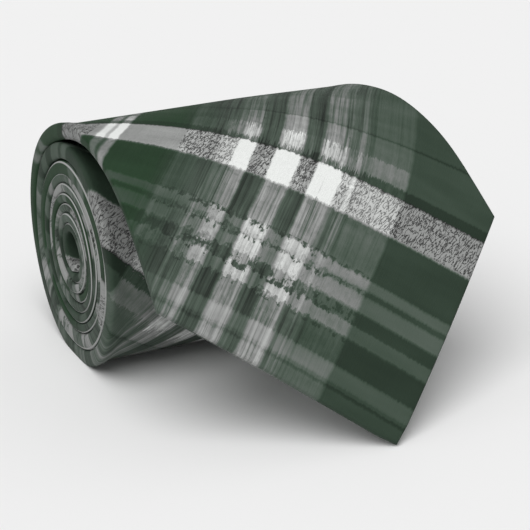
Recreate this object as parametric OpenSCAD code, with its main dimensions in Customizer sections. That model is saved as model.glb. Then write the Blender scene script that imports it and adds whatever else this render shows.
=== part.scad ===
// Necktie, rolled up from its narrow end and set down on the roll.
//
// The blade comes over the top of the roll and slopes down to its point on the table.
// X runs along the roll's axis, -Y points to the blade's tip, and Z = 0 is the table.
// The origin is on the table, under the middle of the blade's width, where the roll rests.
//
// The folded tie is one long flat band. Its centre line is a chain of arcs and spirals in
// the YZ plane, and a place along it is named by its heading, in degrees: 0 runs along +Y
// under the roll, 90 climbs the back, 180 runs forward over the top, and the blade hangs
// below 180. Each turn further into the roll takes off another 360.

/* [Tie] */
// Width of the blade between its two corners
blade_width = 102; // [90:1:106]
// Width that the taper runs down to, at the neck and the tail
neck_width = 38; // [34:1:44]
// Length over which the taper loses about two thirds of its width
taper_length = 405; // [350:5:480]
// Slant of the blade's corners, from rolling the tapered tie with its left edge flush
corner_slant = 4.5; // [3:0.5:5]
// Thickness of the folded tie
thickness = 2.4; // [2.2:0.05:2.4]
// Thickness of the shell's cloth
cloth = 0.35; // [0.3:0.05:0.4]
// Thickness of the lining cloth
lining = 0.3; // [0.2:0.05:0.3]

/* [Roll] */
// Radius of the centre line where the roll rests on the table
roll_radius = 31; // [30:0.5:33]
// Distance from turn to turn in the outer turns
outer_pitch = 4.8; // [4.6:0.1:5.2]
// Distance from turn to turn in the inner turns
inner_pitch = 2.8; // [2.8:0.05:3]
// Radius of the centre line at the tail's end
core_radius = 3.2; // [3:0.1:4]

/* [Blade] */
// Length of the crown from the roll to its highest point
crown_back = 33; // [30:1:35]
// Length of the crown from its highest point to the straight of the blade
crown_front = 38; // [36:1:40]
// Radius of the blade's long bend, down to the tip
blade_radius = 196; // [180:2:220]
// Width of the hem that is turned over the lining
hem = 25; // [20:1:28]

/* [Back of the tie] */
// Distance from the tip to the bar tack that closes the back
bar_tack_at = 151; // [148:1:153]
// Distance from the tip to the middle of the label
label_at = 170; // [168:1:173]
// Distance from the tip to the middle of the keeper loop
keeper_at = 195; // [193:1:197]
// Width of the keeper loop across the tie
keeper_width = 46; // [40:1:50]

/* [Hidden] */

// Headings where the bends of the lap and of the blade lie, from the roll to the blade.
bend_low = 22.5;
bend_mid = 67.5;
bend_high = 112.5;
bend_crown = 157.5;
bend_blade = 205;
// Headings where the centre line leaves the roll, peaks and straightens.
leave = 145;
peak = 180;
straighten = 222;
// Heading where the loose outer turns give way to the tight inner ones.
tighten = -575;
// Headings of the two seams that join the shell's three pieces.
neck_seam = -855;
tail_seam = -1605;
// The roll is pressed flat on the table between these headings, below 0 and above.
rest_half = 7.5;
// Steps between the sections, in degrees of heading.
roll_step = 15;
lap_step = 7.5;
blade_step = 2.5;
// Half the gap between two lengths that bend against each other, in degrees of heading.
half_gap = 0.3;
// Times that an interval is halved to find a heading.
halvings = 40;

// Clearances between the layers inside the shell, and how far in the filling stays.
layer_gap = 0.07;
filling_inset = 1.6;
edge_round = 1;
// The seam down the back, and the thread that lies in it.
seam_half = 0.35;
thread_half = 0.15;
// How far the lining reaches under the shell's folded edges, and past the bar tack.
lining_overlap = 4;
lining_past_tack = 3;
// Width of the hem at the tail's end.
tail_hem = 8;
// The blade's tip is cut off blunt by this much, the filling and the lining by more. Sharp,
// it would dip below the table.
blunt = 1;
tip_dip = 0.3;
filling_start = 8;
tail_start = 4;
// The label, the keeper loop and the bar tacks.
label_length = 14;
label_width = 30;
label_thick = 0.25;
keeper_length = 13;
keeper_rise = 1.1;
keeper_thick = 0.5;
tack_length = 1.6;
tack_width = 7;
tack_thick = 0.35;
sewn_gap = 0.1;

shell_green = [0.17, 0.24, 0.18];
lining_green = [0.10, 0.15, 0.12];
wool_white = [0.85, 0.83, 0.78];
thread_green = [0.08, 0.12, 0.09];
label_grey = [0.35, 0.37, 0.36];

degrees = 180 / PI;

// ---- Centre line: arcs as [first heading, last heading, first radius, last radius] ----

leave_radius = roll_radius + outer_pitch * leave / 360;
tighten_radius = roll_radius + outer_pitch * tighten / 360;
tail_end = tighten - 360 * (tighten_radius - core_radius) / inner_pitch;

crown_back_radius = crown_back / (peak - leave) * degrees;
crown_front_radius = crown_front / (straighten - peak) * degrees;

// The last arc is cut where it meets the table.
ARCS = [
    [tail_end, tighten, core_radius, tighten_radius],
    [tighten, leave, tighten_radius, leave_radius],
    [leave, peak, crown_back_radius, crown_back_radius],
    [peak, straighten, crown_front_radius, crown_front_radius],
    [straighten, 270, blade_radius, blade_radius],
];

// Growth of an arc's radius, in millimetres per radian, and its radius at a heading.
function growth(arc) = (arc[3] - arc[2]) / (arc[1] - arc[0]) * degrees;
function radius_at(arc, h) = arc[2] + growth(arc) * (h - arc[0]) / degrees;

// Integral of an arc's radius times its direction, as [y, z].
function travel(arc, h) = [
    radius_at(arc, h) * sin(h) + growth(arc) * cos(h),
    growth(arc) * sin(h) - radius_at(arc, h) * cos(h),
];

// Centre line above the middle of the flat facet, which lies on the table.
facet_middle = [0, thickness / 2 * cos(rest_half) - roll_radius * (1 - cos(rest_half))];
roll_anchor = facet_middle - travel(ARCS[1], 0);
// Constant of each arc that makes it start where its neighbour ends.
function anchor(i) =
    i == 1 ? roll_anchor :
    i == 0 ? roll_anchor + travel(ARCS[1], tighten) - travel(ARCS[0], tighten) :
    anchor(i - 1) + travel(ARCS[i - 1], ARCS[i][0]) - travel(ARCS[i], ARCS[i][0]);
ANCHORS = [for (i = [0:len(ARCS) - 1]) anchor(i)];
tip = 360 - acos((ANCHORS[4][1] + tip_dip) / blade_radius);

// Index of the arc that holds a heading.
function arc_of(h) = h < tighten ? 0 : h < leave ? 1 : h < peak ? 2 : h < straighten ? 3 : 4;
function centre_line(h) = ANCHORS[arc_of(h)] + travel(ARCS[arc_of(h)], h);

// Length of an arc between two of its headings, and of the tie from the tip to a heading.
function arc_length(arc, from, to) =
    (radius_at(arc, from) + radius_at(arc, to)) / 2 * (to - from) / degrees;
function from_tip(h, i = len(ARCS) - 1, end = tip) =
    h >= ARCS[i][0] ? arc_length(ARCS[i], h, end) :
    arc_length(ARCS[i], ARCS[i][0], end) + from_tip(h, i - 1, ARCS[i][0]);
tie_length = from_tip(tail_end);

// Heading at a distance from the tip, found by halving an interval that holds it.
function heading_at(s, low = tail_end, high = tip, rounds = halvings) =
    rounds == 0 ? (low + high) / 2 :
    from_tip((low + high) / 2) > s ? heading_at(s, (low + high) / 2, high, rounds - 1) :
    heading_at(s, low, (low + high) / 2, rounds - 1);

// ---- Outline of the flat tie: its edges at a distance from the tip ----

left_edge = -blade_width / 2;
tip_x = left_edge + blade_width / 2 * (cos(corner_slant) + sin(corner_slant));
right_corner_x = left_edge + blade_width * cos(corner_slant);
left_corner_at = blade_width / 2 * (cos(corner_slant) - sin(corner_slant));
right_corner_at = blade_width / 2 * (cos(corner_slant) + sin(corner_slant));

function tapered_width(s) =
    neck_width + (right_corner_x - left_edge - neck_width) * exp((right_corner_at - s) / taper_length);
// The tail ends in a right-angled point too.
tail_width = tapered_width(tie_length);
function tail_cut(s) = max(0, tail_width / 2 - (tie_length - s));
function left_x(s) =
    s < left_corner_at ? tip_x + (left_edge - tip_x) * s / left_corner_at :
    left_edge + tail_cut(s);
function right_x(s) =
    s < right_corner_at ? tip_x + (right_corner_x - tip_x) * s / right_corner_at :
    left_edge + tapered_width(s) - tail_cut(s);
function seam_x(s) = (left_x(s) + right_x(s)) / 2;
function half_width(s) = (right_x(s) - left_x(s)) / 2;

// Half the opening between the folded edges on the tie's back. It is a kite that shows the
// lining, from the hem at the tip to the bar tack, and only a seam from there on. The same
// kite, much smaller, opens at the tail.
function opening_half(s) =
    s > tie_length - tail_width ? max(seam_half, min(half_width(s) - tail_hem, tail_opening(s))) :
    s > bar_tack_at ? seam_half :
    max(seam_half, min(half_width(s) - hem, blade_opening(s)));
function blade_opening(s) =
    (half_width(right_corner_at) - hem) * (bar_tack_at - s) / (bar_tack_at - right_corner_at);
function tail_opening(s) = (s - tie_length + tail_width) / 2;

// ---- Sweeping a section along the centre line ----

// A point of the tie: x across it, and its distance out from the centre line.
function tie_point(x, out, h) = [
    x,
    centre_line(h)[0] + out * sin(h),
    centre_line(h)[1] - out * cos(h),
];

// Headings of the sections from one heading to another: both ends, and the steps between.
function headings(from, to, step) = [
    from,
    for (i = [floor(from / step) + 1:ceil(to / step) - 1]) i * step,
    to,
];
// Without its last heading, so that two runs can be joined.
function run(from, to, step) = [for (h = headings(from, to, step)) if (h < to) h];

// A solid swept through rings of points. A ring lists the section's upper edge, then its
// lower edge backwards, so that each end is closed by a strip between the two edges.
module sweep(rings) {
    n = len(rings[0]);
    last = (len(rings) - 1) * n;
    sides = [
        for (i = [0:len(rings) - 2])
        for (j = [0:n - 1])
        let (a = i * n + j, b = i * n + (j + 1) % n)
        each [[a, b, b + n], [a, b + n, a + n]]
    ];
    ends = [
        for (j = [0:n / 2 - 2])
        let (k = n - 1 - j)
        each [
            [j + 1, j, k], [j + 1, k, k - 1],
            [last + j, last + j + 1, last + k], [last + j + 1, last + k - 1, last + k],
        ]
    ];
    polyhedron(points = [for (ring = rings) each ring], faces = concat(sides, ends));
}

// Ring made from the upper and the lower edge of a section, as [x, out] points.
function ring_at(h, upper, lower) = [
    for (p = upper) tie_point(p[0], p[1], h),
    for (i = [len(lower) - 1:-1:0]) tie_point(lower[i][0], lower[i][1], h),
];

// The folded shell: one cloth that runs from the seam around both edges back to the seam.
// Each fold is rounded off by two slanting facets and a straight one between them.
function wrap(s, inset) =
    let (
        edge = min(edge_round, half_width(s) / 3),
        left = left_x(s),
        right = right_x(s),
        side = thickness / 2 - inset,
        seam = min(opening_half(s), half_width(s) - edge)
    ) [
        [seam_x(s) - seam, -side],
        [left + edge, -side],
        [left + inset, -side / 3],
        [left + inset, side / 3],
        [left + edge, side],
        [right - edge, side],
        [right - inset, side / 3],
        [right - inset, -side / 3],
        [right - edge, -side],
        [seam_x(s) + seam, -side],
    ];
module shell(stations) {
    sweep([for (h = stations) ring_at(h, wrap(from_tip(h), 0), wrap(from_tip(h), cloth))]);
}

// A flat strip between two distances out from the centre line, left and right of the seam.
module strip(stations, half, low, high) {
    sweep([
        for (h = stations)
        let (s = from_tip(h), x = seam_x(s), w = half(s))
        ring_at(h, [[x - w, high], [x + w, high]], [[x - w, low], [x + w, low]])
    ]);
}

// The woollen interlining fills the shell, and leaves room for the lining on its back.
filling_high = thickness / 2 - cloth - layer_gap;
filling_low = -thickness / 2 + cloth + 2 * layer_gap + lining;
module interlining(stations) {
    strip(stations, function (s) half_width(s) - filling_inset, filling_low, filling_high);
}

// The lining lies under the folded edges and shows between them.
lining_low = -thickness / 2 + cloth + layer_gap;
module tipping(stations) {
    strip(
        stations,
        function (s) min(half_width(s) - filling_inset, opening_half(s) + lining_overlap),
        lining_low,
        lining_low + lining
    );
}

// The thread lies in the seam, within the thickness of the shell's cloth.
module slip_stitch(stations) {
    strip(
        stations,
        function (s) thread_half,
        -thickness / 2 + layer_gap / 2,
        -thickness / 2 + cloth - layer_gap / 2
    );
}

// A piece sewn flat on the back, centred at a distance from the tip.
function patch_headings(at, length) =
    headings(heading_at(at + length / 2), heading_at(at - length / 2), lap_step);
module sewn_on(at, length, width, thick) {
    strip(
        patch_headings(at, length),
        function (s) width / 2,
        -thickness / 2 - sewn_gap - thick,
        -thickness / 2 - sewn_gap
    );
}

// ---- Lengths between the bends ----

tip_corner_left = tip - left_corner_at / blade_radius * degrees;
tip_corner_right = tip - right_corner_at / blade_radius * degrees;
function blade_headings(start) = concat(
    run(bend_blade + half_gap, tip_corner_right, blade_step),
    run(tip_corner_right, tip_corner_left, blade_step),
    headings(tip_corner_left, heading_at(start), blade_step)
);
crown_headings = headings(bend_crown + half_gap, bend_blade - half_gap, lap_step);
lap_high_headings = headings(bend_high + half_gap, bend_crown - half_gap, lap_step);
lap_mid_headings = headings(bend_mid + half_gap, bend_high - half_gap, lap_step);
lap_low_headings = headings(bend_low + half_gap, bend_mid - half_gap, lap_step);
lining_top = heading_at(bar_tack_at + lining_past_tack);

tail_corner = heading_at(tie_length - tail_width / 2);
function roll_headings(start, end) = concat(
    headings(start, -rest_half, roll_step),
    headings(rest_half, end, lap_step)
);

// ---- The blade, from its tip to the crown ----

module shell_blade() {
    color(shell_green) shell(blade_headings(blunt));
}
module interlining_blade() {
    color(wool_white) interlining(blade_headings(filling_start));
}
module tipping_blade() {
    color(lining_green) tipping(blade_headings(filling_start));
}

// ---- The crown, over the top of the roll ----

module shell_crown() {
    color(shell_green) shell(crown_headings);
}
module interlining_crown() {
    color(wool_white) interlining(crown_headings);
}
module tipping_crown() {
    color(lining_green) tipping(crown_headings);
}

// ---- The outer lap behind the roll, in three lengths ----

module shell_lap_high() {
    color(shell_green) shell(lap_high_headings);
}
module interlining_lap_high() {
    color(wool_white) interlining(lap_high_headings);
}
module tipping_lap_high() {
    color(lining_green) tipping(headings(lining_top, bend_crown - half_gap, lap_step));
}
module bar_tack_blade() {
    color(thread_green) sewn_on(bar_tack_at, tack_length, tack_width, tack_thick);
}

module shell_lap_mid() {
    color(shell_green) shell(lap_mid_headings);
}
module interlining_lap_mid() {
    color(wool_white) interlining(lap_mid_headings);
}
module label() {
    color(label_grey) sewn_on(label_at, label_length, label_width, label_thick);
}
module slip_stitch_lap_mid() {
    color(thread_green) slip_stitch(lap_mid_headings);
}

module shell_lap_low() {
    color(shell_green) shell(lap_low_headings);
}
module interlining_lap_low() {
    color(wool_white) interlining(lap_low_headings);
}
module slip_stitch_lap_low() {
    color(thread_green) slip_stitch(lap_low_headings);
}

// The keeper loop is a flat bridge across the back, sewn down at both ends.
module keeper_loop() {
    foot = -thickness / 2 - sewn_gap;
    top = foot - keeper_rise;
    half = keeper_width / 2;
    color(shell_green)
    sweep([
        for (h = patch_headings(keeper_at, keeper_length))
        let (x = seam_x(from_tip(h)), t = keeper_thick)
        ring_at(
            h,
            [[x - half + t, foot], [x - half + t, top + t], [x + half - t, top + t], [x + half - t, foot]],
            [[x - half, foot], [x - half, top], [x + half, top], [x + half, foot]]
        )
    ]);
}

// ---- The roll ----

module shell_roll() {
    color(shell_green) shell(roll_headings(neck_seam + half_gap, bend_low - half_gap));
}
module shell_neck() {
    color(shell_green) shell(headings(tail_seam + half_gap, neck_seam - half_gap, roll_step));
}
module shell_tail() {
    color(shell_green)
    shell(concat(
        run(heading_at(tie_length - blunt), tail_corner, roll_step),
        headings(tail_corner, tail_seam - half_gap, roll_step)
    ));
}
module interlining_roll() {
    color(wool_white)
    interlining(concat(
        run(heading_at(tie_length - tail_start), tail_corner, roll_step),
        roll_headings(tail_corner, bend_low - half_gap)
    ));
}
module slip_stitch_roll() {
    stitch_end = heading_at(tie_length - tail_width - tack_length);
    color(thread_green) slip_stitch(roll_headings(stitch_end, bend_low - half_gap));
}
module tipping_tail() {
    color(lining_green)
    tipping(concat(
        run(heading_at(tie_length - tail_start), tail_corner, roll_step),
        headings(tail_corner, heading_at(tie_length - tail_width), roll_step)
    ));
}
module bar_tack_tail() {
    color(thread_green) sewn_on(tie_length - tail_width, tack_length, tack_width, lining);
}

shell_blade();
interlining_blade();
tipping_blade();
shell_crown();
interlining_crown();
tipping_crown();
shell_lap_high();
interlining_lap_high();
tipping_lap_high();
bar_tack_blade();
shell_lap_mid();
interlining_lap_mid();
label();
slip_stitch_lap_mid();
shell_lap_low();
interlining_lap_low();
keeper_loop();
slip_stitch_lap_low();
shell_roll();
shell_neck();
shell_tail();
interlining_roll();
slip_stitch_roll();
tipping_tail();
bar_tack_tail();
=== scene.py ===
"""A plaid necktie, rolled up from its tail, with its blade lying over the front of the roll.

The folded tie follows one line: arcs and spirals named by their heading in degrees, as in the
CAD model. A place on the flat tie is (x, s): x across it, s the distance from the blade's tip.
Lengths are in millimetres until a mesh is made.
"""

import math

import bpy
import numpy as np
from mathutils import Matrix, Vector


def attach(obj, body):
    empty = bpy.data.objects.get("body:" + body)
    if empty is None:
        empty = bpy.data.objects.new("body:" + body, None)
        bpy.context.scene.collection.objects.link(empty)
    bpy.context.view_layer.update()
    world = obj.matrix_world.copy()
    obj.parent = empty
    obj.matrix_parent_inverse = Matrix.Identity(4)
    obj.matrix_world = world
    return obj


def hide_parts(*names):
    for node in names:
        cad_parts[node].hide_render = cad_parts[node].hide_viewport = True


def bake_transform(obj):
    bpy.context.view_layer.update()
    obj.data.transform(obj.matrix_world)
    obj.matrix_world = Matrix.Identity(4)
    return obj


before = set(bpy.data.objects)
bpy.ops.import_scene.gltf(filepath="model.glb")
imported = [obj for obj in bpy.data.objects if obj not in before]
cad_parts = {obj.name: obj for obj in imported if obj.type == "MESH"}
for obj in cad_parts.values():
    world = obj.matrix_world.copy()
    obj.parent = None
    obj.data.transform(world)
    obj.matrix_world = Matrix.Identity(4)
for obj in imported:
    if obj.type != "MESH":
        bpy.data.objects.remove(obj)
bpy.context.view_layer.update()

MM = 0.001

# ---- The tie's sizes, as in the CAD model ----

BLADE_WIDTH = 102
NECK_WIDTH = 38
TAPER_LENGTH = 405
CORNER_SLANT = math.radians(4.5)
THICKNESS = 2.4
CLOTH = 0.35
ROLL_RADIUS = 31
OUTER_PITCH = 4.8
INNER_PITCH = 2.8
CORE_RADIUS = 3.2
CROWN_BACK = 33
CROWN_FRONT = 38
BLADE_RADIUS = 196
HEM = 25
BAR_TACK_AT = 151
LABEL_AT = 170
KEEPER_AT = 195
KEEPER_WIDTH = 46

# Headings where the line tightens, leaves the roll, peaks and straightens.
TIGHTEN, LEAVE, PEAK, STRAIGHTEN = -575, 145, 180, 222
NECK_SEAM, TAIL_SEAM = -855, -1605
REST_HALF = 7.5
TIP_DIP = 0.3

# ---- Sizes of the details ----

# The tip is rounded off by this much, and the back's two edges stay this far from their seam.
TIP_ROUND = 0.75
SEAM_HALF = 0.15
# A folded edge rolls over within FOLD_ROLL of its rim, more squarely than a circle, and is
# puffed up as far as FOLD_REACH.
FOLD_ROLL = 1.3
FOLD_POWER = 3.2
FOLD_REACH = 5.5
# The crown's right end has no roll under it, and sags by this much. Its left fold bulges.
SAG = 1.4
CROWN_BULGE = 1.3
# A mitre crosses the back's hems, near the blade's corners, within this distance of the tip.
MITRE_REACH = 45
# Rows run parallel to the pointed ends there, and straight across from these distances on.
POINT_REACH = 104
TAIL_REACH = 45
# The edges on the back dip towards the interlining over this distance, by this much.
EDGE_DIP_REACH = 1.6
EDGE_DIP = 0.3

# The label, the keeper loop and the layers inside the shell: how long or wide they are, how far
# in from the shell they stay, and their two distances out of the tie's middle.
LABEL_LENGTH, LABEL_WIDTH = 14, 30
LABEL_OUT = (-1.55, -1.3)
KEEPER_LENGTH = 13
KEEPER_RISE = 0.9
KEEPER_OUT = (-1.8, -1.3)
INTERLINING_START = 8
INTERLINING_INSET = 2.3
INTERLINING_OUT = (-0.45, 0.78)
LINING_START = 15
LINING_END = 7
LINING_PAST_TACK = 8
LINING_OVERLAP = 4
LINING_OUT = (-0.78, -0.48)
STITCH_PITCH = 7

# ---- The line that the folded tie follows ----

leave_radius = ROLL_RADIUS + OUTER_PITCH * LEAVE / 360
tighten_radius = ROLL_RADIUS + OUTER_PITCH * TIGHTEN / 360
tail_end = TIGHTEN - 360 * (tighten_radius - CORE_RADIUS) / INNER_PITCH
back_radius = CROWN_BACK / math.radians(PEAK - LEAVE)
front_radius = CROWN_FRONT / math.radians(STRAIGHTEN - PEAK)

# First heading, last heading, first radius, last radius.
ARCS = [
    (tail_end, TIGHTEN, CORE_RADIUS, tighten_radius),
    (TIGHTEN, LEAVE, tighten_radius, leave_radius),
    (LEAVE, PEAK, back_radius, back_radius),
    (PEAK, STRAIGHTEN, front_radius, front_radius),
    (STRAIGHTEN, 270, BLADE_RADIUS, BLADE_RADIUS),
]


def growth(arc):
    return (arc[3] - arc[2]) / math.radians(arc[1] - arc[0])


def radius_at(arc, h):
    return arc[2] + growth(arc) * np.radians(h - arc[0])


def travel(arc, h):
    """Integral of an arc's radius times its direction, as [y, z]."""
    r, g = radius_at(arc, h), growth(arc)
    sin, cos = np.sin(np.radians(h)), np.cos(np.radians(h))
    return np.array([r * sin + g * cos, g * sin - r * cos])


def find_anchors():
    """What each arc adds to its travel, so that the arcs join and the roll rests on the table."""
    cos = math.cos(math.radians(REST_HALF))
    facet = np.array([0, THICKNESS / 2 * cos - ROLL_RADIUS * (1 - cos)])
    found = [facet - travel(ARCS[1], 0)]
    found.insert(0, found[0] + travel(ARCS[1], TIGHTEN) - travel(ARCS[0], TIGHTEN))
    for before, arc in zip(ARCS[1:], ARCS[2:]):
        found.append(found[-1] + travel(before, arc[0]) - travel(arc, arc[0]))
    return found


ANCHORS = find_anchors()
tip_heading = 360 - math.degrees(math.acos((ANCHORS[-1][1] + TIP_DIP) / BLADE_RADIUS))


def arc_of(h):
    return np.digitize(h, [arc[0] for arc in ARCS[1:]])


def centre_line(h):
    """Middle of the folded tie at an array of headings, as two arrays, y and z."""
    starts = [anchor.reshape(2, *[1] * h.ndim) for anchor in ANCHORS]
    routes = [travel(arc, h) + start for arc, start in zip(ARCS, starts)]
    return [np.choose(arc_of(h), [route[axis] for route in routes]) for axis in (0, 1)]


def distance_table():
    """Headings a quarter of a degree apart, and their distances from the tip."""
    h = np.append(np.arange(tail_end, tip_heading, 0.25), tip_heading)
    middle = (h[1:] + h[:-1]) / 2
    radii = np.choose(arc_of(middle), [radius_at(arc, middle) for arc in ARCS])
    steps = radii * np.radians(np.diff(h))
    return h, np.append(np.cumsum(steps[::-1])[::-1], 0)


HEADINGS, DISTANCES = distance_table()
tie_length = DISTANCES[0]


def heading_at(s):
    return np.interp(s, DISTANCES[::-1], HEADINGS[::-1])


def from_tip(h):
    return np.interp(h, HEADINGS, DISTANCES)


def smoothstep(low, high, value):
    t = np.clip((value - low) / (high - low), 0, 1)
    return t * t * (3 - 2 * t)


def in_space(x, out, s):
    """Points of the row frame, in metres: x across the tie, out from its middle, s from the tip.

    The crown sags at its free right end, and nothing lies below the table.
    """
    h = heading_at(s)
    y, z = centre_line(h)
    turn = np.radians(h)
    out = out - SAG * smoothstep(0, 45, x) * smoothstep(140, 175, h) * (1 - smoothstep(195, 235, h))
    height = np.maximum(z - out * np.cos(turn), 0)
    return np.stack([x, y + out * np.sin(turn), height], axis=-1) * MM


# ---- The flat tie's outline ----

left_edge = -BLADE_WIDTH / 2
half_blade = BLADE_WIDTH / 2
tip_x = left_edge + half_blade * (math.cos(CORNER_SLANT) + math.sin(CORNER_SLANT))
right_corner_x = left_edge + BLADE_WIDTH * math.cos(CORNER_SLANT)
left_corner_at = half_blade * (math.cos(CORNER_SLANT) - math.sin(CORNER_SLANT))
right_corner_at = half_blade * (math.cos(CORNER_SLANT) + math.sin(CORNER_SLANT))


def right_side(s):
    """The tie's right edge, without its pointed ends."""
    taper = np.exp((right_corner_at - np.maximum(s, right_corner_at)) / TAPER_LENGTH)
    return left_edge + NECK_WIDTH + (right_corner_x - left_edge - NECK_WIDTH) * taper


tail_width = right_side(tie_length) - left_edge
tail_x = left_edge + tail_width / 2

# The outline's slanting edges, as their inward normals and a point on each, in x and s: the
# blade's two, which are also the two directions of the plaid, and the tail's two.
plaid_turn = math.radians(45) + CORNER_SLANT
SLANTS = [
    ((math.cos(plaid_turn), math.sin(plaid_turn)), (tip_x, 0)),
    ((-math.sin(plaid_turn), math.cos(plaid_turn)), (tip_x, 0)),
    ((math.sqrt(0.5), -math.sqrt(0.5)), (tail_x, tie_length)),
    ((-math.sqrt(0.5), -math.sqrt(0.5)), (tail_x, tie_length)),
]


def blade_point(x):
    """How far back from the tip the blade's edge lies at x. The point itself is rounded off."""
    left, right = left_corner_at / (tip_x - left_edge), right_corner_at / (right_corner_x - tip_x)
    return np.hypot(np.where(x < tip_x, left, right) * (x - tip_x), TIP_ROUND)


def tail_point(x):
    return np.hypot(x - tail_x, TIP_ROUND)


def opening_half(s):
    """Half the opening on the tie's back: a kite that shows the lining, then only a seam."""
    widest = (right_corner_x - left_edge) / 2 - HEM
    kite = widest * (BAR_TACK_AT - s) / (BAR_TACK_AT - right_corner_at)
    return np.clip(kite, SEAM_HALF, widest)


# ---- Rows and columns over the flat tie ----


class Rows:
    """Rows across the tie. Row v lies v from the tip, or from the slanting edges near a point."""

    def __init__(self, v):
        self.v = v
        self.blade = 1 - smoothstep(0, POINT_REACH, v)
        self.tail = 1 - smoothstep(0, TAIL_REACH, tie_length - v)
        self.right = right_side(v + right_corner_at * self.blade - tail_width / 2 * self.tail)
        self.seam = tip_x * self.blade + (left_edge + self.right) / 2 * (1 - self.blade)

    def distance(self, x):
        """Distance from the tip at points x, given as one row of them for each row."""
        blade = blade_point(x) * self.blade[:, None]
        return self.v[:, None] + blade - tail_point(x) * self.tail[:, None]


def turned_rows(first, last, step):
    """Rows at even headings, from the one nearer the tip to the other."""
    return from_tip(np.linspace(first, last, math.ceil((first - last) / step) + 1))


def straight_rows(near, far, step):
    return np.linspace(near, far, math.ceil((far - near) / step) + 1)


# Distances from a rim where the folded cloth bends: seven steps around its roll, then its puff.
around_roll = FOLD_ROLL * (1 - np.cos(np.linspace(0, math.pi / 2, 8)) ** 0.8)
FOLD = np.append(around_roll, [2.6, 3.8, FOLD_REACH])
# Columns from the fold to the border, half of them on each side of the mitre, and from there to
# the seam. HALF is all the columns between a rim and the seam.
INNER_COLUMNS = 6
MIDDLE_COLUMNS = 4
# The mitre's column stays this far from the fold and from the border.
MITRE_GAP = 0.5
HALF = len(FOLD) - 1 + INNER_COLUMNS + MIDDLE_COLUMNS


def mitres(rows):
    """Distance from each side, by row, of the mitre where its hem meets the blade's hem."""
    sin, cos = math.sin(plaid_turn), math.cos(plaid_turn)
    level = 1 - rows.blade
    left = (sin * rows.v - level * cos * (tip_x - left_edge)) / (1 - level * cos)
    right = (cos * rows.v - level * sin * (rows.right - tip_x)) / (1 - level * sin)
    return left, right


def half_columns(half_width, border, mitre):
    """Distances of the columns from a rim, by row: over the fold, to the border, to the seam.

    One column follows the mitre, along which the plaid on the back changes direction.
    """
    steps = np.linspace(0, 1, INNER_COLUMNS // 2 + 1)[1:]
    middle = np.linspace(0, 1, MIDDLE_COLUMNS + 1)[1:]
    nearest = FOLD_REACH + MITRE_GAP
    mitre = np.clip(mitre, nearest, np.maximum(border - MITRE_GAP, nearest))
    border, half_width, mitre = border[:, None], half_width[:, None], mitre[:, None]
    return np.hstack([
        np.broadcast_to(FOLD, (len(border), len(FOLD))),
        FOLD_REACH + (mitre - FOLD_REACH) * steps,
        mitre + (border - mitre) * steps,
        border + (half_width - border) * middle,
    ])


# How full the folded edges are, half their thickness, by heading. Inside the roll the folds fill
# the space between the turns.
LEFT_FULLNESS = [(-700, INNER_PITCH / 2 - 0.03), (-500, 2.37), (60, 2.35), (150, 2.1), (195, 1.3)]
RIGHT_FULLNESS = [(-700, INNER_PITCH / 2 - 0.03), (-500, 2.3), (0, 2.1), (60, 1.3)]


def rolled(d):
    """Height of a folded edge's round rim, from 0 to 1, at a distance from the rim."""
    inwards = 1 - np.minimum(d, FOLD_ROLL) / FOLD_ROLL
    return (1 - inwards ** FOLD_POWER) ** (1 / FOLD_POWER)


def half_thickness(d, s, is_left):
    """Half the folded tie's thickness at a distance from its rim."""
    h = heading_at(s)
    left, right = np.interp(h, *zip(*LEFT_FULLNESS)), np.interp(h, *zip(*RIGHT_FULLNESS))
    full = np.where(is_left, left, right)
    puff = (full - THICKNESS / 2) * (1 - smoothstep(FOLD_ROLL, FOLD_REACH, d))
    return (THICKNESS / 2 + puff) * rolled(d)


def rim_distance(rows, x, s):
    """Distance from each point to the tie's nearest rim."""
    side = np.minimum(x - left_edge, rows.right[:, None] - x)
    blade = (s - blade_point(x)) * math.sqrt(0.5)
    tail = (tie_length - tail_point(x) - s) * math.sqrt(0.5)
    return np.maximum(np.minimum(side, np.minimum(blade, tail)), 0)


# ---- The shell: one cloth, folded around both rims to the seam down the back ----


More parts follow.
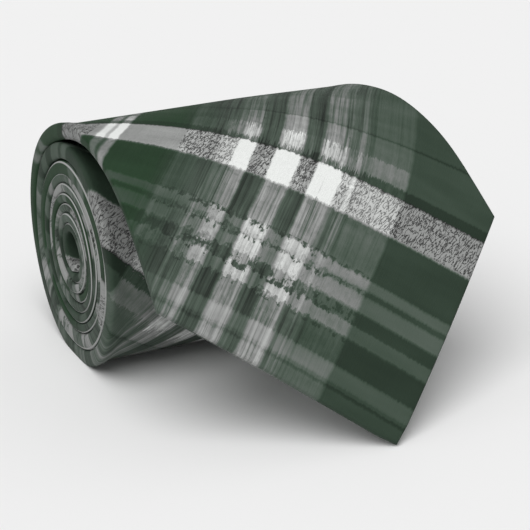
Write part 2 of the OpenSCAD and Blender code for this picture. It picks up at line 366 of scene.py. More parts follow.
class Shell:
    """The whole cloth, as a grid whose columns run from the seam round both rims to the seam."""

    def __init__(self, v):
        self.rows = Rows(v)
        self.is_open = v >= HEM
        self.lay_out()
        points = in_space(self.x + self.unevenness(), self.out, self.s)
        self.points = points.reshape(-1, 3)
        self.make_quads()
        self.normals = vertex_normals(self.points, self.quads)
        self.uv = self.flat_places()

    def lay_out(self):
        """Sets x, s and out, the grid's places on the tie and their distances out of its middle."""
        rows = self.rows
        past_hem = smoothstep(0, HEM, rows.v)
        opening = opening_half(rows.v + right_corner_at * rows.blade)
        face, back, dips = [], [], []
        past_mitre = smoothstep(MITRE_REACH, MITRE_REACH + 20, rows.v)
        for half_width, mitre in zip((rows.seam - left_edge, rows.right - rows.seam), mitres(rows)):
            even = FOLD_REACH + 0.6 * (half_width - FOLD_REACH)
            face.append(half_columns(half_width, even, (FOLD_REACH + even) / 2))
            # On the back, a column follows the border of the opening once past the hem, and one
            # follows the mitre until past it.
            border = even + (half_width - opening - even) * past_hem
            mitre = mitre + ((FOLD_REACH + border) / 2 - mitre) * past_mitre
            columns = half_columns(half_width, border, mitre)
            columns[:, -1] -= SEAM_HALF / 2 * past_hem
            back.append(columns)
            near_border = 1 - smoothstep(0, EDGE_DIP_REACH, border[:, None] - columns)
            dips.append(EDGE_DIP * near_border * past_hem[:, None])
        right = rows.right[:, None]
        self.x = np.hstack([
            left_edge + back[0][:, ::-1],
            left_edge + face[0][:, 1:],
            right - face[1][:, -2::-1],
            right - back[1][:, 1:],
        ])
        self.s = rows.distance(self.x)
        is_left = self.x < rows.seam[:, None]
        high = half_thickness(rim_distance(rows, self.x, self.s), self.s, is_left)
        self.out = np.hstack([
            dips[0][:, ::-1] - high[:, :HALF + 1] - self.crown_fold()[:, :HALF + 1],
            high[:, HALF + 1:3 * HALF],
            dips[1] - high[:, 3 * HALF:],
        ])

    def crown_fold(self):
        """How much further the crown's left fold bulges towards the roll."""
        h = heading_at(self.s)
        bulge = smoothstep(135, 165, h) * (1 - smoothstep(185, 220, h))
        d = self.x - left_edge
        return CROWN_BULGE * bulge * smoothstep(0, 2, d) * (1 - smoothstep(2, 12, d))

    def unevenness(self):
        """The rims in the roll don't line up exactly."""
        wave = 0.3 * np.sin(self.s / 23) + 0.18 * np.sin(self.s / 7.1 + 1)
        return wave * smoothstep(150, 260, self.s) * (1 - smoothstep(0, 14, self.x - left_edge))

    def make_quads(self):
        """Quads that face outwards, without those over the opening.

        At a pointed end the back shares the face's points.
        """
        index = np.arange(self.x.size).reshape(self.x.shape)
        k = np.arange(1, HALF + 1)
        for row in (0, -1):
            index[row, HALF - k] = index[row, HALF + k]
            index[row, 3 * HALF + k] = index[row, 3 * HALF - k]
        quads = np.stack([index[:-1, :-1], index[:-1, 1:], index[1:, 1:], index[1:, :-1]], axis=-1)
        row, column = np.indices(quads.shape[:2])
        middle = (column < MIDDLE_COLUMNS) | (column >= 4 * HALF - MIDDLE_COLUMNS)
        kept = ~(middle & self.is_open[:-1, None])
        self.quads, self.row, self.column = quads[kept], row[kept], column[kept]
        self.is_back = (self.column < HALF) | (self.column >= 3 * HALF)

    def flat_places(self):
        """Where each quad's corners lie on the flat cloth, from the tip, in millimetres.

        Past a rim the cloth goes on, so the back is the mirror image of what would lie beyond.
        """
        rows = self.row[:, None] + np.array([0, 0, 1, 1])
        columns = self.column[:, None] + np.array([0, 1, 1, 0])
        x, s = self.x[rows, columns], self.s[rows, columns]
        normals = np.array([(1, 0), (-1, 0)] + [normal for normal, _ in SLANTS])
        distances = [x - left_edge, self.rows.right[rows] - x]
        distances += [nx * (x - px) + ns * (s - ps) for (nx, ns), (px, ps) in SLANTS]
        distances = np.stack(distances)
        nearest = distances.mean(axis=2).argmin(axis=0)
        d = np.maximum(np.take_along_axis(distances, nearest[None, :, None], 0)[0], 0)
        # The cloth is longer than its outline by what bends around the rim.
        spare = (math.pi / 2 - 1) * FOLD_ROLL
        on_face = d - spare * (1 - rolled(d))
        shift = np.where(self.is_back[:, None], -(d + 2 * spare + on_face), on_face - d)
        return np.stack([x - tip_x, s], axis=-1) + normals[nearest][:, None, :] * shift[..., None]

    def piece(self, name, near, far):
        """The rows from one distance to another, as an object."""
        inside = np.flatnonzero((self.rows.v > near - 0.001) & (self.rows.v < far + 0.001))
        kept = (self.row >= inside[0]) & (self.row < inside[-1])
        return thick_cloth(name, self.points, self.normals, self.quads[kept], self.uv[kept])


def vertex_normals(points, quads):
    """Area-weighted normals of the points of a quad mesh."""
    quad_normals = face_normals(points[quads])
    normals = np.zeros_like(points)
    for corner in range(4):
        np.add.at(normals, quads[:, corner], quad_normals)
    return unit(normals)


def face_normals(corners):
    """Normals of quads given as their corners, as long as twice the quad's area."""
    return np.cross(corners[:, 2] - corners[:, 0], corners[:, 3] - corners[:, 1])


def unit(vectors):
    return vectors / np.maximum(np.linalg.norm(vectors, axis=-1, keepdims=True), 1e-12)


def open_edges(quads):
    """Edges with one quad, in that quad's direction, and the quads' corners at their ends."""
    edges = np.concatenate([quads[:, [i, (i + 1) % 4]] for i in range(4)])
    corners = np.arange(quads.size).reshape(quads.shape)
    corners = np.concatenate([corners[:, [i, (i + 1) % 4]] for i in range(4)])
    ends = np.sort(edges, axis=1)
    _, first, count = np.unique(ends, axis=0, return_index=True, return_counts=True)
    single = first[count == 1]
    return edges[single], corners[single]


def thick_cloth(name, points, normals, quads, uv):
    """A closed mesh of cloth CLOTH thick, inwards of the quads, with its rims walled."""
    used, quads = np.unique(quads, return_inverse=True)
    quads = quads.reshape(-1, 4)
    outer, normals, n = points[used], normals[used], len(used)
    both = np.concatenate([outer, outer - normals * CLOTH * MM])
    rim, rim_corners = open_edges(quads)
    walls = np.stack([rim[:, 1], rim[:, 0], rim[:, 0] + n, rim[:, 1] + n], axis=1)
    wall_uv = uv.reshape(-1, 2)[rim_corners[:, [1, 0, 0, 1]]]
    wall_normals = np.repeat(unit(face_normals(both[walls]))[:, None], 4, axis=1)
    faces = np.concatenate([quads, quads[:, ::-1] + n, walls])
    obj = make_object(name, both, faces, np.concatenate([uv, uv[:, ::-1], wall_uv]))
    shading = [normals[quads], -normals[quads[:, ::-1]], wall_normals]
    obj.data.normals_split_custom_set(np.concatenate(shading).reshape(-1, 3).tolist())
    return obj, flat_area(uv)


def flat_area(uv):
    """Area of quads on the flat cloth, in square metres."""
    a, b = uv[:, 2] - uv[:, 0], uv[:, 3] - uv[:, 1]
    return float(np.abs(a[:, 0] * b[:, 1] - a[:, 1] * b[:, 0]).sum() / 2 * MM * MM)


def make_object(name, points, faces, uv):
    """A smooth quad mesh, with its places on the flat cloth in the UV map named Cloth."""
    mesh = bpy.data.meshes.new(name)
    mesh.from_pydata(points.tolist(), [], [list(face) for face in faces])
    mesh.uv_layers.new(name="Cloth").data.foreach_set("uv", uv.ravel())
    mesh.shade_smooth()
    obj = bpy.data.objects.new(name, mesh)
    bpy.context.scene.collection.objects.link(obj)
    return obj


# ---- Flat pieces and threads ----

SLAB_COLUMNS = 18
THREAD_SIDES = 6
TACK_THREAD = 0.24
STITCH_THREAD = 0.17


def no_bow(across):
    return 0 * across


def slab(name, v, low_x, high_x, low_out, high_out, bow=no_bow):
    """A closed flat piece over rows v, between two distances out, rounded off at its sides.

    bow says how far out the piece is bent, from -1 at its left side to 1 at its right.
    """
    rows = Rows(v)
    across = np.sin(np.linspace(-math.pi / 2, math.pi / 2, SLAB_COLUMNS + 1))
    low_x, high_x = low_x(rows)[:, None], high_x(rows)[:, None]
    x = (low_x + high_x) / 2 + (high_x - low_x) / 2 * across
    s = rows.distance(x)
    half = (high_out - low_out) / 2 * np.sqrt(1 - np.abs(across) ** 8)
    middle = np.broadcast_to((low_out + high_out) / 2 + bow(across), x.shape)
    # Each row is a ring: over the top from left to right, and back along the bottom.
    back = slice(SLAB_COLUMNS - 1, 0, -1)
    ring_x, ring_s = np.hstack([x, x[:, back]]), np.hstack([s, s[:, back]])
    out = np.hstack([middle + half, (middle - half)[:, back]])
    index = np.arange(ring_x.size).reshape(ring_x.shape)
    faces = tube_quads(index) + end_strip(index[0], 1) + end_strip(index[-1], -1)
    flat = np.stack([ring_x - tip_x, ring_s], axis=-1).reshape(-1, 2)
    points = in_space(ring_x, out, ring_s).reshape(-1, 3)
    obj = make_object(name, points, faces, flat[np.concatenate(faces)])
    cells = np.diff((x[1:] + x[:-1]) / 2, axis=1) * np.diff((s[:, 1:] + s[:, :-1]) / 2, axis=0)
    return obj, float(np.abs(cells).sum()) * MM * MM


def tube_quads(index):
    """Quads around rings of points, one row of the index for each ring."""
    after = np.roll(index, -1, axis=1)
    quads = np.stack([index[:-1], index[1:], after[1:], after[:-1]], axis=-1)
    return quads.reshape(-1, 4).tolist()


def end_strip(ring, turn):
    """Faces across a slab's end, between the top and the bottom of its ring."""
    ring, last = ring.tolist(), SLAB_COLUMNS
    strip = [[ring[j], ring[j + 1], ring[-j - 1], ring[-j]] for j in range(1, last - 1)]
    strip += [[ring[0], ring[1], ring[-1]], [ring[last - 1], ring[last], ring[last + 1]]]
    return [face[::turn] for face in strip]


def threads(name, paths, radius):
    """Threads as closed tubes, each along its own list of places given as x, out and s."""
    points, faces, flat = [], [], []
    turn = np.linspace(0, 2 * math.pi, THREAD_SIDES, endpoint=False)[:, None]
    for path in paths:
        x, out, s = np.array(path, float).T
        line = in_space(x, out, s)
        ahead = unit(np.gradient(line, axis=0))
        side = unit(np.cross(ahead, (1, 0.2, 0.4)))
        up = np.cross(side, ahead)
        thin = np.sqrt(1 - np.linspace(-0.9, 0.9, len(line)) ** 4)[:, None, None]
        ring = side[:, None] * np.cos(turn) + up[:, None] * np.sin(turn)
        first = THREAD_SIDES * sum(len(p) for p in points)
        index = first + np.arange(len(line) * THREAD_SIDES).reshape(len(line), THREAD_SIDES)
        points.append(line[:, None] + radius * MM * thin * ring)
        flat.append(np.repeat(np.stack([x, s], axis=-1), THREAD_SIDES, axis=0))
        faces += tube_quads(index) + [index[0].tolist(), index[-1][::-1].tolist()]
    points, flat = np.concatenate(points).reshape(-1, 3), np.concatenate(flat)
    return make_object(name, points, faces, flat[np.concatenate(faces)])


# ---- Materials ----


class Shader:
    """Short calls that add nodes to one material and join them up."""

    def __init__(self, name):
        self.material = bpy.data.materials.new(name)
        self.material.use_nodes = True
        self.nodes = self.material.node_tree.nodes
        self.nodes.clear()

    def node(self, kind, *values, output=0, **settings):
        """A node with its first inputs set or linked, and its other inputs set by name."""
        made = self.nodes.new("ShaderNode" + kind)
        for key, value in settings.items():
            if key in made.inputs:
                self.join(made.inputs[key], value)
            else:
                setattr(made, key, value)
        for socket, value in zip(made.inputs, values):
            self.join(socket, value)
        return made.outputs[output]

    def join(self, socket, value):
        if isinstance(value, bpy.types.NodeSocket):
            self.material.node_tree.links.new(value, socket)
        else:
            socket.default_value = value

    def math(self, operation, *values, clamp=False):
        return self.node("Math", *values, operation=operation, use_clamp=clamp)

    def add(self, a, b):
        return self.math("ADD", a, b)

    def minus(self, a, b):
        return self.math("SUBTRACT", a, b)

    def times(self, a, b):
        return self.math("MULTIPLY", a, b)

    def least(self, a, b):
        return self.math("MINIMUM", a, b)

    def most(self, a, b):
        return self.math("MAXIMUM", a, b)

    def size(self, value):
        return self.math("ABSOLUTE", value)

    def wave(self, value, length):
        """A sine wave, from -1 to 1, that repeats at every length."""
        return self.math("SINE", self.times(value, 2 * math.pi / length))

    def mix(self, share, first, second):
        """The first colour where the share is 0, and the second where it is 1."""
        return self.node("Mix", data_type="RGBA", output=2, Factor=share, A=first, B=second)

    def between(self, value, low, high, to_low=0.0, to_high=1.0):
        """Maps low to to_low and high to to_high, smoothly."""
        ends = low, high, to_low, to_high
        return self.node("MapRange", value, *ends, interpolation_type="SMOOTHSTEP")

    def noise(self, vector, scale, detail=2.0, roughness=0.5):
        return self.node("TexNoise", Vector=vector, Scale=scale, Detail=detail, Roughness=roughness)

    def flat_place(self):
        """Places on the flat cloth, in millimetres from the tip: across it and along it."""
        place = self.node("UVMap", uv_map="Cloth")
        split = self.nodes.new("ShaderNodeSeparateXYZ")
        self.join(split.inputs[0], place)
        return split.outputs[0], split.outputs[1]

    def vector(self, x, y, z=0.0):
        return self.node("CombineXYZ", x, y, z)

    def grain(self, x, y, x_scale, y_scale, detail):
        """Noise around 0, mostly within 0.2 of it, with one scale along x and one along y."""
        place = self.vector(self.times(x, x_scale), self.times(y, y_scale))
        return self.minus(self.noise(place, 1.0, detail, 0.6), 0.5)

    def bands(self, value, length, stops, soft=0.0):
        """Levels that change at each stop, a start and a level in percent, over soft each way."""
        ramp = self.nodes.new("ShaderNodeValToRGB")
        self.join(ramp.inputs[0], self.times(value, 1 / length))
        places = stops
        if soft:
            places = stops[:1]
            for (_, before), (start, level) in zip(stops, stops[1:]):
                places = places + [(start - soft, before), (start + soft, level)]
        elements = ramp.color_ramp.elements
        ramp.color_ramp.interpolation = "LINEAR" if soft else "CONSTANT"
        while len(elements) < len(places):
            elements.new(0.5)
        for element, (start, level) in zip(elements, places):
            element.position = start / length
            element.color = (level / 100, level / 100, level / 100, 1)
        return ramp.outputs[0]

    def cloth(self, colour, bumps, roughness, sheen, specular=0.3):
        """Ends the material in a cloth surface. bumps are heights and how deep each is, in mm."""
        surface = self.nodes.new("ShaderNodeBsdfPrincipled")
        self.join(surface.inputs["Base Color"], colour)
        surface.inputs["Roughness"].default_value = roughness
        surface.inputs["Specular IOR Level"].default_value = specular
        surface.inputs["Sheen Weight"].default_value = sheen
        surface.inputs["Sheen Roughness"].default_value = 0.4
        normal = None
        for height, depth in bumps:
            bump = self.nodes.new("ShaderNodeBump")
            bump.inputs["Distance"].default_value = depth * MM
            self.join(bump.inputs["Height"], height)
            if normal:
                self.join(bump.inputs["Normal"], normal)
            normal = bump.outputs[0]
        self.join(surface.inputs["Normal"], normal)
        output = self.nodes.new("ShaderNodeOutputMaterial")
        self.join(output.inputs[0], surface.outputs[0])
        return self.material

    def twill(self, across, along, pitch):
        """Height of a fine diagonal weave, with its ribs a pitch apart."""
        rib = self.wave(self.add(across, along), pitch)
        step = self.wave(self.minus(across, along), 2 * pitch)
        return self.times(self.add(rib, self.times(step, 0.5)), 0.5)


# The plaid is a sett that mirrors every SETT millimetres, in both directions. The cloth is a
# little out of square: past LEAN_FROM the ground's bands lean by LEAN, and past SKEW_FROM, over
# the crown, the crossing bands shift, by SKEW millimetres in all.
SETT = 121
LEAN = 0.07
LEAN_FROM = 50.0
SKEW = 8.0
SKEW_FROM = 58.0
# Each band is its start and a level in percent. These are the ground's lightness, and what the
# crossing bands add to it.
GROUND_BANDS = [
    (0, 26), (4.2, 19), (4.9, 26), (6, 31), (10.5, 21.5), (18.5, 31), (22.5, 22.5), (26.5, 35),
    (31.3, 25), (33, 35), (36, 24), (50.6, 56), (62.5, 19.5), (66, 27), (80, 19), (80.7, 26),
]
CROSS_BANDS = [
    (0, 0), (25, 9), (38.7, 15), (40, 9), (43, 25), (50, 5), (55, 26), (61.5, 3), (67, 22),
    (71.5, 9), (76, 4), (86, 0), (102, 24), (104.4, 5), (105.6, 16), (108, 0),
]
# How much the crossing bands stand out on each band of the ground, in percent of double.
GAIN_BANDS = [
    (0, 56), (10.5, 52), (18.5, 76), (22.5, 62), (26.5, 76), (36, 60), (50.6, 100), (62.5, 50),
    (66, 92), (72, 48), (80, 34), (97, 28),
]
# The ground's one bright stripe.
BRIGHT_BAND = [(0, 0), (50.6, 100), (62.5, 0)]
# How far the ground's edges are brushed out along the crossing bands, and how blotched it is.
BRUSHED_BANDS = [(0, 6), (63, 100), (76, 8)]
BLOTCHED_BANDS = [(0, 20), (17, 100), (37, 12), (48, 30), (76, 15)]
# How crinkled the bright stripe is, and how streaked and frayed the cloth is, by crossing band.
CRINKLED_BANDS = [(0, 100), (86, 8), (110, 90)]
WORKED_BANDS = [(0, 3), (24, 25), (37, 100), (80, 45), (88, 10)]


# Lightness, from 0 to 1: what faded bands come down to, the most that any cloth has, the most
# that cloth inside the roll has under its painted shade, and that of the painted highlight along
# the roll's folded edge.
DARK_LEVEL = 0.22
BRIGHTEST = 0.89
BRIGHTEST_IN_ROLL_SHADE = 0.56
EDGE_HIGHLIGHT_LEVEL = 0.62


class Plaid(Shader):
    """The shell's cloth: a dark green plaid twill, as if brushed, with one bright looped stripe."""

    def __init__(self, name):
        super().__init__(name)
        self.across, self.along = self.flat_place()
        self.lay_out()
        self.fray()
        level = self.streaked(self.banded())
        furrowed = self.furrows()
        level = self.least(level, BRIGHTEST)
        level = self.times(level, self.minus(1.0, self.times(furrowed, 0.6)))
        # The colour carries painted shade inside the roll and a painted highlight along its folded
        # edge.
        colour = self.tinted(self.painted_roll_shade_and_edge_highlight(level))
        weave = self.twill(self.across, self.along, 0.42)
        loops = self.times(self.minus(1.0, furrowed), self.bright)
        self.cloth(colour, [(weave, 0.03), (self.fine, 0.05), (loops, 0.16)], 0.65, 0.0, 0.12)

    def folded(self, place):
        """The place in the sett, which mirrors at each end."""
        return self.math("PINGPONG", place, SETT)

    def bands_at(self, place, stops, soft=0.0):
        return self.bands(place, SETT, stops, soft)

    def thread_grain(self, cross_scale, ground_scale, detail):
        """Noise drawn out along the threads of the ground or of the crossing bands."""
        return self.grain(self.cross, self.ground, cross_scale, ground_scale, detail)

    def lay_out(self):
        """Sets how far each place is across the ground's bands and across the crossing bands."""
        sin, cos = math.sin(plaid_turn), math.cos(plaid_turn)
        ground = self.add(self.times(self.across, cos), self.times(self.along, sin))
        cross = self.add(self.times(self.across, -sin), self.times(self.along, cos))
        beyond = self.most(self.add(self.folded(cross), -LEAN_FROM), 0.0)
        self.ground = self.add(ground, self.times(beyond, LEAN))
        self.folded_ground = self.folded(self.ground)
        skew = self.between(self.folded_ground, SKEW_FROM, SETT, 0.0, SKEW)
        self.cross = self.minus(cross, skew)
        self.folded_cross = self.folded(self.cross)
        self.worked = self.bands_at(self.folded_cross, WORKED_BANDS, 2.0)

    def fray(self):
        """Shifts the bands' edges: brushed out thread by thread, blotched, and swaying."""
        brush = self.size(self.thread_grain(1.3, 0.07, 3.0))
        brushed_out = self.times(self.bands_at(self.folded_ground, BRUSHED_BANDS), 26.0)
        self.blotch = self.thread_grain(0.7, 0.38, 3.0)
        self.patchy = self.bands_at(self.folded_ground, BLOTCHED_BANDS)
        blotched = self.times(self.blotch, self.times(self.patchy, 9.0))
        frayed = self.times(self.add(self.times(brush, brushed_out), blotched), self.worked)
        edge = self.times(self.thread_grain(1.6, 0.3, 2.0), 1.2)
        sway = self.times(self.thread_grain(0.05, 0.25, 3.0), 0.9)
        self.shifted_ground = self.folded(self.add(self.add(self.ground, frayed), edge))
        self.shifted_cross = self.folded(self.add(self.cross, sway))

    def banded(self):
        """The bands' lightness. The ground's bands fade behind the far crossing bands."""
        fade = self.between(self.folded_cross, 62.0, 80.0, 1.0, 0.55)
        ground_level = self.bands_at(self.shifted_ground, GROUND_BANDS, 0.25)
        self.bright = self.bands_at(self.shifted_ground, BRIGHT_BAND)
        fade = self.most(fade, self.bright)
        above_dark = self.times(self.minus(ground_level, DARK_LEVEL), fade)
        self.ground_level = self.add(above_dark, DARK_LEVEL)
        self.cross_level = self.bands_at(self.shifted_cross, CROSS_BANDS, 0.35)
        # The crossing bands are worn off the blotches, and most of all off the darkest ground.
        gain = self.times(self.bands_at(self.shifted_ground, GAIN_BANDS), 2.0)
        dark_row = self.between(self.ground_level, 0.24, 0.3, 1.0, 0.2)
        patches = self.times(self.between(self.blotch, -0.03, 0.08), self.patchy)
        worn = self.times(patches, self.times(dark_row, 0.75))
        gain = self.times(gain, self.minus(1.0, worn))
        return self.add(self.ground_level, self.times(self.cross_level, gain))

    def streaked(self, level):
        """Adds streaks along the crossing bands, a few wide ones and fine ones, and broad tones."""
        wide = self.thread_grain(0.42, 0.02, 2.0)
        self.fine = self.thread_grain(1.5, 0.03, 3.0)
        fine_part = self.times(self.least(self.fine, 0.06), 1.5)
        streak = self.add(self.times(wide, 0.9), fine_part)
        strength = self.times(self.worked, self.between(self.ground_level, 0.24, 0.34, 1.0, 0.5))
        level = self.times(level, self.add(1.0, self.times(streak, strength)))
        tone = self.times(self.thread_grain(0.03, 0.12, 2.0), 0.35)
        return self.times(level, self.add(1.0, tone))

    def furrows(self):
        """Thin dark furrows in the bright stripe, but not where a light band crosses it."""
        leaning = self.add(self.times(self.cross, 1.3), self.times(self.ground, 0.3))
        crinkle = self.grain(leaning, self.ground, 1.0, 0.36, 2.0)
        furrow = self.between(self.size(crinkle), 0.0, 0.05, 1.0, 0.0)
        uncrossed = self.between(self.cross_level, 0.03, 0.2, 1.0, 0.05)
        crinkled = self.bands_at(self.folded_cross, CRINKLED_BANDS)
        return self.times(self.times(furrow, self.bright), self.times(uncrossed, crinkled))

    def painted_roll_shade_and_edge_highlight(self, level):
        """Paints shade on the light bands inside the roll, and a painted highlight along its folded
        edge.
        """
        # Painted shade: light bands are capped darker further into the roll, where the turns shade
        # each other.
        level = self.least(level, self.between(self.along, 250.0, 330.0, 1.0, BRIGHTEST_IN_ROLL_SHADE))
        # Painted highlight: a thin pale line on the crest of the folded edge, inside the roll.
        from_edge = self.size(self.minus(self.across, left_edge - tip_x + 0.1))
        in_roll = self.between(self.along, 330.0, 400.0)
        edge_highlight = self.times(self.between(from_edge, 0.15, 0.32, 1.0, 0.0), in_roll)
        return self.most(level, self.times(edge_highlight, EDGE_HIGHLIGHT_LEVEL))

    def tinted(self, level):
        """The colour: dark cloth is green, light cloth nearly white, and greener between bands."""
        greyed = self.most(self.bright, self.times(self.worked, 0.45))
        neutral = self.most(self.between(level, 0.18, 0.52), greyed)
        is_dark = self.between(level, 0.25, 0.3, 1.0, 0.0)
        rich = self.times(self.between(self.folded_cross, 82.0, 90.0, 0.0, 0.12), is_dark)
        red_share = self.add(self.times(neutral, 0.215), 0.775)
        blue_share = self.add(self.times(neutral, 0.17), 0.82)
        red = self.times(level, self.minus(red_share, rich))
        blue = self.times(level, self.minus(blue_share, rich))
        channels = [self.math("POWER", part, 2.2, clamp=True) for part in (red, level, blue)]
        return self.node("CombineColor", *channels)


def satin(name, dark, light, pitch):
    """A plain woven lining with a fine stripe that slants across it, repeating at each pitch."""
    m = Shader(name)
    across, along = m.flat_place()
    stripe = m.between(m.wave(m.add(across, along), pitch), 0.2, 0.9)
    slub = m.noise(m.vector(m.times(across, 0.25), m.times(along, 3.0)), 1.0, 3.0, 0.6)
    share = m.add(m.times(stripe, 0.5), m.times(slub, 0.5))
    colour = m.mix(share, dark, light)
    weave = m.wave(along, 0.3)
    return m.cloth(colour, [(weave, 0.03), (slub, 0.06)], 0.42, 0.0, 0.3)


def wool(name):
    """Brushed wool: a loose weave under a fuzz of fibres."""
    m = Shader(name)
    across, along = m.flat_place()
    fuzz = m.noise(m.vector(across, along), 1.4, 5.0, 0.75)
    weave = m.times(m.wave(across, 1.1), m.wave(along, 1.1))
    share = m.add(m.times(fuzz, 0.8), m.times(weave, 0.12))
    colour = m.mix(share, (0.5, 0.47, 0.41, 1), (0.86, 0.83, 0.76, 1))
    return m.cloth(colour, [(weave, 0.15), (fuzz, 0.3)], 0.9, 0.3)


def twisted_thread(name, dark, light):
    """Sewing thread, with its twist."""
    m = Shader(name)
    across, along = m.flat_place()
    twist = m.wave(m.add(m.times(across, 1.3), along), 0.6)
    fibre = m.noise(m.vector(across, along), 6.0, 3.0, 0.6)
    share = m.add(m.times(twist, 0.3), fibre)
    colour = m.mix(share, dark, light)
    return m.cloth(colour, [(twist, 0.06)], 0.5, 0.2)


def woven_label(name):
    """A blank damask label: a plain ground inside a woven border."""
    m = Shader(name)
    across, along = m.flat_place()
    x = m.minus(across, seam_at(LABEL_AT) - tip_x)
    y = m.minus(along, LABEL_AT)
    from_side = m.minus(LABEL_WIDTH / 2, m.size(x))
    from_end = m.minus(LABEL_LENGTH / 2, m.size(y))
    edge = m.least(from_side, from_end)
    border = m.times(m.between(edge, 1.2, 1.4), m.between(edge, 2.1, 2.3, 1.0, 0.0))
    rib = m.wave(y, 0.35)
    grain = m.noise(m.vector(m.times(x, 0.5), m.times(y, 3.0)), 1.0, 3.0, 0.6)
    ground = m.mix(grain, (0.07, 0.09, 0.08, 1), (0.12, 0.15, 0.13, 1))
    colour = m.mix(border, ground, (0.5, 0.5, 0.47, 1))
    return m.cloth(colour, [(rib, 0.04), (border, 0.08)], 0.45, 0.15, 0.4)


# ---- Stretches of the tie; the roll's pieces follow its body ----

# The headings where a stretch ends, the two bodies that it follows, and the headings between
# which it bends. The roll, from heading 0 to the tail's end, doesn't bend.
BENDS = {
    "blade": (181, tip_heading, "crown", "blade", 186, 224),
    "crown": (135, 181, "lap_high", "crown", 137, 178),
    "lap_high": (90, 135, "lap_mid", "lap_high", 92, 133),
    "lap_mid": (45, 90, "lap_low", "lap_mid", 47, 88),
    "lap_low": (0, 45, "roll", "lap_low", 2, 43),
}


def stretch_ends(stretch):
    """Distances from the tip where a stretch starts and ends."""
    if stretch == "roll":
        return from_tip(0), tie_length
    low, high = BENDS[stretch][:2]
    return from_tip(high), from_tip(low)


def stretch_rows(stretch, start, end):
    """Rows along one stretch, for the flat layers inside. start and end cut off its last rows."""
    near, far = stretch_ends(stretch)
    near, far = max(near, start), min(far, end)
    if stretch == "blade":
        return straight_rows(near, far, 4)
    return turned_rows(heading_at(near), heading_at(far), 6 if stretch == "roll" else 3)


def fit(piece, stretch, slot, material, *nodes):
    """Gives a piece its material, hides the model's parts that it replaces, and fixes it to the
    roll's body when its stretch is the roll.
    """
    piece.data.materials.append(material)
    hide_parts(*nodes)
    if stretch == "roll":
        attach(piece, "roll")
        return
    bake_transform(piece)


# ---- The pieces ----


def shell_rows():
    """Rows of the shell from the tip to the tail's end."""
    fold = FOLD * math.sqrt(2)
    runs = [
        fold,
        straight_rows(fold[-1], from_tip(181), 1.3),
        turned_rows(181, 135, 2.2),
        turned_rows(135, 90, 2.2),
        turned_rows(90, 45, 2.2),
        turned_rows(45, 0, 2.2),
        turned_rows(0, NECK_SEAM, 4.2),
        turned_rows(NECK_SEAM, TAIL_SEAM, 4.2),
        turned_rows(TAIL_SEAM, heading_at(tie_length - fold[-1]), 5),
        tie_length - fold[::-1],
    ]
    return np.concatenate(runs[:1] + [run[1:] for run in runs[1:]])


def add_shell(material):
    shell = Shell(shell_rows())
    neck, tail = from_tip(NECK_SEAM), from_tip(TAIL_SEAM)
    lengths = [(stretch, *stretch_ends(stretch), stretch) for stretch in BENDS]
    lengths += [("roll", from_tip(0), neck, "roll")]
    lengths += [("neck", neck, tail, "roll"), ("tail", tail, tie_length, "roll")]
    for part, near, far, stretch in lengths:
        piece, area = shell.piece(f"{part}_shell", near, far)
        fit(piece, stretch, "shell", material, f"shell_{part}")


def add_interlining(material):
    for stretch in [*BENDS, "roll"]:
        v = stretch_rows(stretch, INTERLINING_START, tie_length - INTERLINING_START)
        piece, area = slab(
            f"{stretch}_interlining", v,
            lambda rows: left_edge + INTERLINING_INSET + 0 * rows.v,
            lambda rows: rows.right - INTERLINING_INSET,
            *INTERLINING_OUT,
        )
        fit(piece, stretch, "interlining", material, f"interlining_{stretch}")


def lining_half(rows):
    return opening_half(rows.v + right_corner_at * rows.blade) + LINING_OVERLAP


def add_lining(material):
    """The lining of the blade, in three lengths, and the lining of the tail."""
    far = BAR_TACK_AT + LINING_PAST_TACK
    lengths = [(stretch, LINING_START, far, stretch) for stretch in ("blade", "crown", "lap_high")]
    lengths += [("roll", tie_length - tail_width, tie_length - LINING_END, "tail")]
    for stretch, start, end, part in lengths:
        v = stretch_rows(stretch, start, end)
        piece, area = slab(
            f"{part}_lining", v,
            lambda rows: rows.seam - lining_half(rows),
            lambda rows: rows.seam + lining_half(rows),
            *LINING_OUT,
        )
        fit(piece, stretch, "lining", material, f"tipping_{part}")


def add_patch(name, stretch, at, length, width, outs, slot, material, node, bow=no_bow):
    """A flat piece across the seam on the tie's back."""
    piece, area = slab(
        name, straight_rows(at - length / 2, at + length / 2, 1.5),
        lambda rows: rows.seam - width / 2,
        lambda rows: rows.seam + width / 2,
        *outs, bow,
    )
    fit(piece, stretch, slot, material, node)


def keeper_bow(across):
    return -KEEPER_RISE * smoothstep(0, 0.45, 1 - np.abs(across))


def seam_at(s):
    return float(Rows(np.array([float(s)])).seam[0])


def tack_paths(s):
    """Satin stitches along the tie, side by side, over a core that crosses the seam."""
    across = np.linspace(-3.6, 3.6, 9)
    core = [[(seam_at(s) + x, -1.35, s + side) for x in across] for side in (-0.4, 0, 0.4)]
    wrap = [(-1.2, -1.15), (-0.8, -1.55), (0, -1.72), (0.8, -1.55), (1.2, -1.15)]
    wraps = [
        [(seam_at(s) + x + 0.1 * side, out, s + side) for side, out in wrap]
        for x in np.arange(-3.2, 3.3, 0.42)
    ]
    return core + wraps


def stitch_paths(near, far):
    """Slip stitches that lie slanting across the seam, one every STITCH_PITCH."""
    slant = [(-1, -1.02), (-0.5, -1.28), (0, -1.36), (0.5, -1.28), (1, -1.02)]
    return [
        [(seam_at(s) + 1.1 * side, out, s + 1.6 * side) for side, out in slant]
        for s in np.arange(near + STITCH_PITCH / 2, far, STITCH_PITCH)
    ]


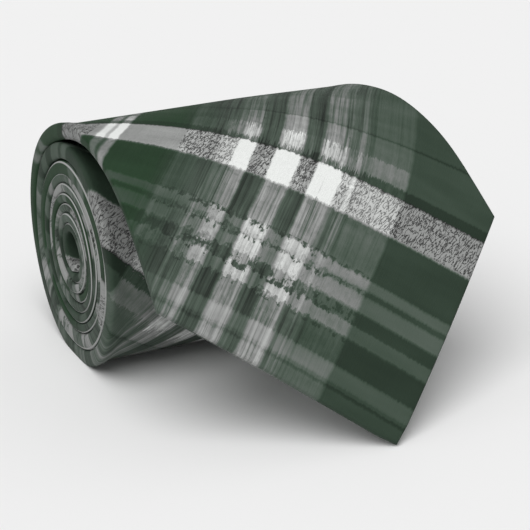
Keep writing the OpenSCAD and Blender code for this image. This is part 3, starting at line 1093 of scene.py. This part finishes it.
def add_sewing(material):
    tail_tack = tie_length - tail_width
    tacks = [("blade", "lap_high", BAR_TACK_AT), ("tail", "roll", tail_tack)]
    for part, stretch, at in tacks:
        piece = threads(f"{part}_tack", tack_paths(at), TACK_THREAD)
        fit(piece, stretch, "thread", material, f"bar_tack_{part}")
    first = BAR_TACK_AT + 2
    keeper_near, keeper_far = KEEPER_AT - KEEPER_LENGTH / 2, KEEPER_AT + KEEPER_LENGTH / 2
    seams = [
        ("lap_high", first, LABEL_AT - LABEL_LENGTH / 2, "slip_stitch_lap_mid"),
        ("lap_mid", LABEL_AT + LABEL_LENGTH / 2, keeper_near, "slip_stitch_lap_mid"),
        ("lap_low", keeper_far, from_tip(0), "slip_stitch_lap_low"),
        ("roll", from_tip(0), tail_tack - 2, "slip_stitch_roll"),
    ]
    for stretch, near, far, node in seams:
        near, far = max(near, stretch_ends(stretch)[0]), min(far, stretch_ends(stretch)[1])
        if far - near > STITCH_PITCH:
            piece = threads(f"{stretch}_stitches", stitch_paths(near, far), STITCH_THREAD)
            fit(piece, stretch, "thread", material, node)


def add_pieces():
    cloth = Plaid("Plaid twill").material
    thread = twisted_thread("Sewing thread", (0.012, 0.022, 0.015, 1), (0.05, 0.075, 0.055, 1))
    label = woven_label("Woven label")
    add_shell(cloth)
    add_interlining(wool("Brushed wool"))
    add_lining(satin("Satin lining", (0.008, 0.03, 0.017, 1), (0.024, 0.075, 0.043, 1), 2.4))
    add_patch(
        "label_patch", "lap_high", LABEL_AT, LABEL_LENGTH, LABEL_WIDTH, LABEL_OUT,
        "label", label, "label",
    )
    add_patch(
        "keeper_band", "lap_mid", KEEPER_AT, KEEPER_LENGTH, KEEPER_WIDTH, KEEPER_OUT,
        "shell", cloth, "keeper_loop", keeper_bow,
    )
    add_sewing(thread)


# ---- Floor, lights and camera ----

# Where the camera is and where it looks, in metres, its lens in millimetres, and its tilt.
CAMERA_PLACE = (-0.21768, -0.49076, 0.23789)
CAMERA_TARGET = (-0.00444, -0.03, 0.02981)
CAMERA_LENS = 134.55
CAMERA_TILT = math.radians(-0.82)


def add_floor():
    mesh = bpy.data.meshes.new("floor")
    mesh.from_pydata([(-4, -4, 0), (4, -4, 0), (4, 4, 0), (-4, 4, 0)], [], [(0, 1, 2, 3)])
    mesh.materials.append(paper("Studio paper"))
    floor = bpy.data.objects.new("floor", mesh)
    bpy.context.scene.collection.objects.link(floor)


def paper(name):
    m = Shader(name)
    surface = m.nodes.new("ShaderNodeBsdfPrincipled")
    surface.inputs["Base Color"].default_value = (0.84, 0.84, 0.84, 1)
    surface.inputs["Roughness"].default_value = 0.9
    surface.inputs["Specular IOR Level"].default_value = 0.1
    m.join(m.nodes.new("ShaderNodeOutputMaterial").inputs[0], surface.outputs[0])
    return m.material


def add_light(name, place, spread, strength):
    """An even, soft light that shines from a place towards the tie."""
    light = bpy.data.lights.new(name, "SUN")
    light.angle = math.radians(spread)
    light.energy = strength
    lamp = bpy.data.objects.new(name, light)
    lamp.location = place
    lamp.rotation_euler = (-Vector(place)).to_track_quat("-Z", "Y").to_euler()
    bpy.context.scene.collection.objects.link(lamp)


def add_world(strength):
    world = bpy.data.worlds.new("Studio")
    world.use_nodes = True
    background = world.node_tree.nodes["Background"]
    background.inputs["Color"].default_value = (1, 1, 1, 1)
    background.inputs["Strength"].default_value = strength
    bpy.context.scene.world = world


def add_camera():
    data = bpy.data.cameras.new("Camera")
    data.lens = CAMERA_LENS
    data.sensor_width = 36
    data.clip_end = 20
    camera = bpy.data.objects.new("Camera", data)
    place, target = Vector(CAMERA_PLACE), Vector(CAMERA_TARGET)
    turn = (target - place).to_track_quat("-Z", "Y").to_matrix().to_4x4()
    tilt = Matrix.Rotation(CAMERA_TILT, 4, "Z")
    camera.matrix_world = Matrix.Translation(place) @ turn @ tilt
    bpy.context.scene.collection.objects.link(camera)
    bpy.context.scene.camera = camera


add_pieces()
add_floor()
add_light("Key light", (-0.4, -0.5, 1.1), 50, 2.2)
add_world(0.45)
add_camera()
bpy.context.scene.view_settings.view_transform = "Standard"
